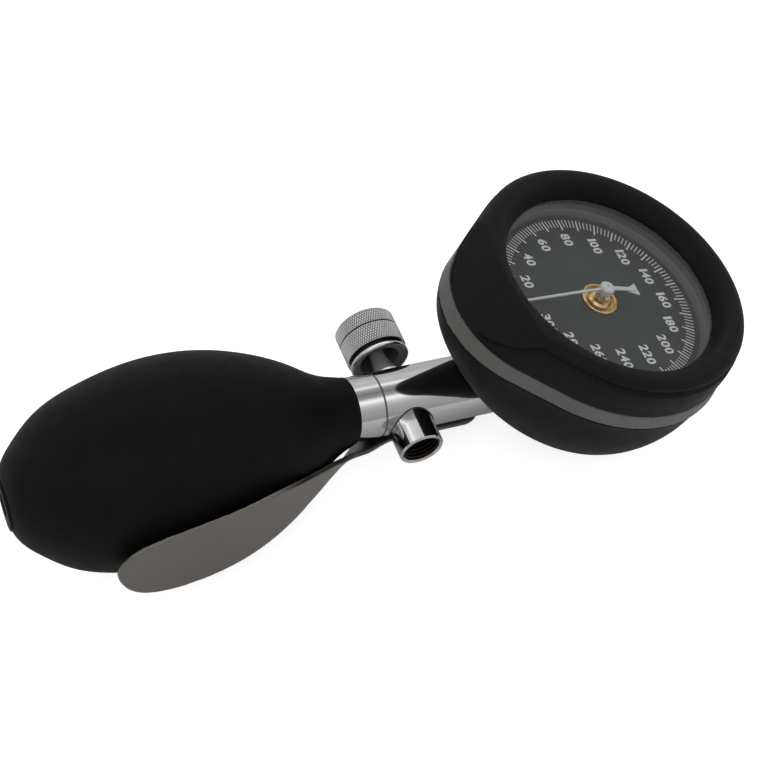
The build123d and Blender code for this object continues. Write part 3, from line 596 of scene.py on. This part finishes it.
# A light tent with two long strip lights over the table, parallel to the manifold. The light depends only on
# the angle round the manifold's axis, in degrees from straight up, positive towards the viewer's side.
tent = ((-180, 0.60), (-95, 0.62), (-74, 0.76), (-60, 0.92), (-48, 0.84), (-41, 1.05), (-35, 1.75), (-30, 1.15), (-22, 0.50),
        (-9, 0.34), (4, 0.50), (11, 1.10), (17, 1.75), (24, 1.45), (33, 0.92), (46, 0.68), (60, 0.58), (80, 0.48), (95, 0.50), (180, 0.60))
tc = wt.nodes.new("ShaderNodeTexCoord")
sep = wt.nodes.new("ShaderNodeSeparateXYZ")
wt.links.new(tc.outputs["Generated"], sep.inputs[0])
dot = wt.nodes.new("ShaderNodeVectorMath")
dot.operation = "DOT_PRODUCT"
dot.inputs[1].default_value = tuple(TA[2])
wt.links.new(tc.outputs["Generated"], dot.inputs[0])
neg = wt.nodes.new("ShaderNodeMath")
neg.operation = "MULTIPLY"
neg.inputs[1].default_value = -1.0
wt.links.new(sep.outputs["Y"], neg.inputs[0])
ang = wt.nodes.new("ShaderNodeMath")
ang.operation = "ARCTAN2"
wt.links.new(neg.outputs[0], ang.inputs[0])
wt.links.new(dot.outputs["Value"], ang.inputs[1])
fac = rangemap(wt, ang.outputs[0], -math.pi, math.pi, 0.0, 1.0)
wr = wt.nodes.new("ShaderNodeValToRGB")
wr.color_ramp.interpolation = "EASE"
els = wr.color_ramp.elements
els[0].position, els[1].position = 0.0, 1.0
for deg, v in tent[1:-1]:
    els.new((deg + 180) / 360)
for e_, (deg, v) in zip(els, tent):
    e_.color = (v, v, v, 1)
wt.links.new(fac, wr.inputs["Fac"])
along = wt.nodes.new("ShaderNodeVectorMath")
along.operation = "DOT_PRODUCT"
along.inputs[1].default_value = tuple(TA[0])
wt.links.new(tc.outputs["Generated"], along.inputs[0])
end = rangemap(wt, along.outputs["Value"], 0.46, 0.60, 0.0, 1.0)
soft = wt.nodes.new("ShaderNodeMix")
soft.data_type = "RGBA"
wt.links.new(end, soft.inputs["Factor"])
wt.links.new(wr.outputs["Color"], soft.inputs["A"])
soft.inputs["B"].default_value = (0.66, 0.66, 0.66, 1)
wt.links.new(soft.outputs["Result"], bg.inputs["Color"])
bg.inputs["Strength"].default_value = 1.0


# camera: solved from the dial's circle and marks, the boot and the tube
R = np.array([[0.8554, -0.3733, 0.3592], [0.0911, 0.7909, 0.6051], [-0.5099, -0.4849, 0.7105]])
U, _, Vt = np.linalg.svd(R)
R = U @ Vt
FOCAL, K, C0 = 1722.6, 4.2217, (598.76, 300.303)
tvec = np.array([(C0[0] - 390) / K, -(C0[1] - 390.5) / K, -FOCAL / K])
cam_g = -R.T @ tvec
cam_w = world(G, cam_g)
RG = np.stack(GA, 1)
right, up, back = RG @ R[0], RG @ R[1], RG @ R[2]
cam = bpy.data.cameras.new("camera")
cam.sensor_width = 36.0
cam.lens = FOCAL / 781 * 36.0
cam.clip_start, cam.clip_end = 0.01, 20
co = bpy.data.objects.new("camera", cam)
mw = Matrix.Identity(4)
for i in range(3):
    mw[i][0], mw[i][1], mw[i][2], mw[i][3] = right[i], up[i], back[i], cam_w[i]
co.matrix_world = mw
sc.collection.objects.link(co)
sc.camera = co
sc.view_settings.view_transform = "Standard"
sc.view_settings.look = "None"

lo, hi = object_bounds()
